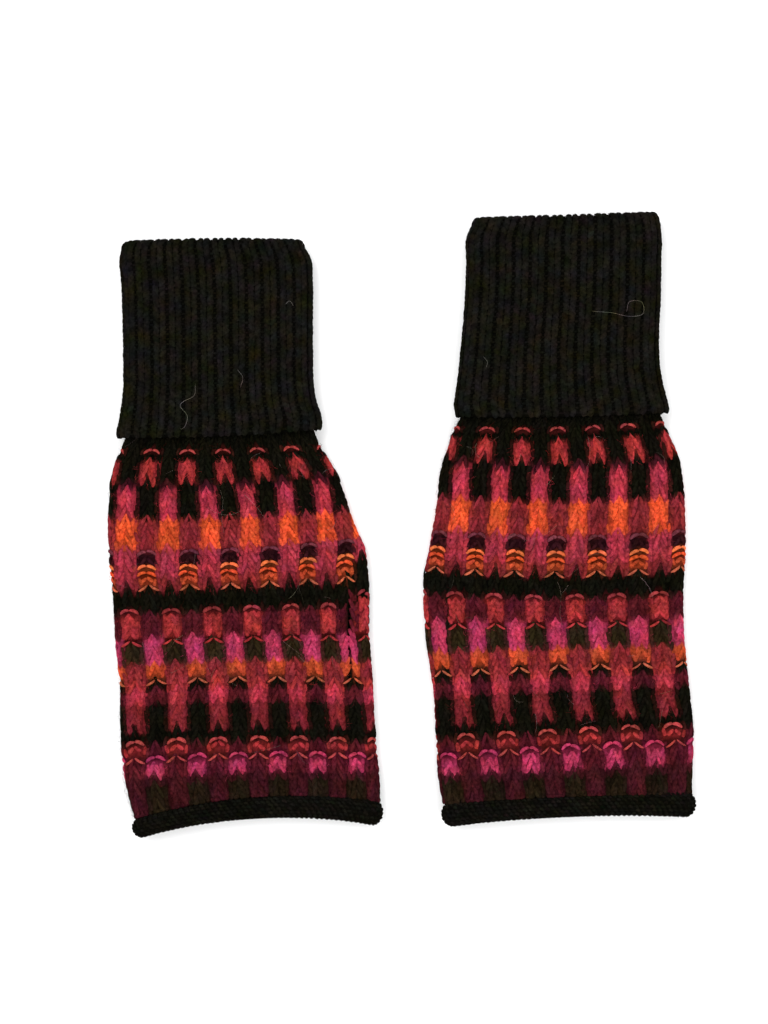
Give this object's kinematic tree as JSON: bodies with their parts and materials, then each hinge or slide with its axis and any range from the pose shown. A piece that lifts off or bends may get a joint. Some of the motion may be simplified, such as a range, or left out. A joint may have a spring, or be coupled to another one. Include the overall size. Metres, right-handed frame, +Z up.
{
  "type": "pair of fingerless mittens",
  "caption": "Pair of knitted fingerless mittens laid flat: folded ribbed cuffs, patterned hand tubes with a thumb slit, and rolled finger edges.",
  "frame": {"origin": "on the surface that the pair lies on, below the middle of the pair's box", "axes": "+Y from the fingers towards the cuffs, +X to the right as seen from above, +Z up from the surface"},
  "size_m": [0.2115, 0.2251, 0.0108],
  "materials": {
    "rib_wool": "matt black ribbed wool with a short halo",
    "stranded_wool": "stranded wool in black, crimson, rose, magenta and orange, with a soft halo",
    "edge_wool": "matt black knitting seen from its purl side"
  },
  "bodies": {
    "root": {"left_cuff": "rib_wool", "left_hand": "stranded_wool", "left_rolled_edge": "edge_wool", "right_cuff": "rib_wool", "right_hand": "stranded_wool", "right_rolled_edge": "edge_wool"}
  },
  "joints": []
}
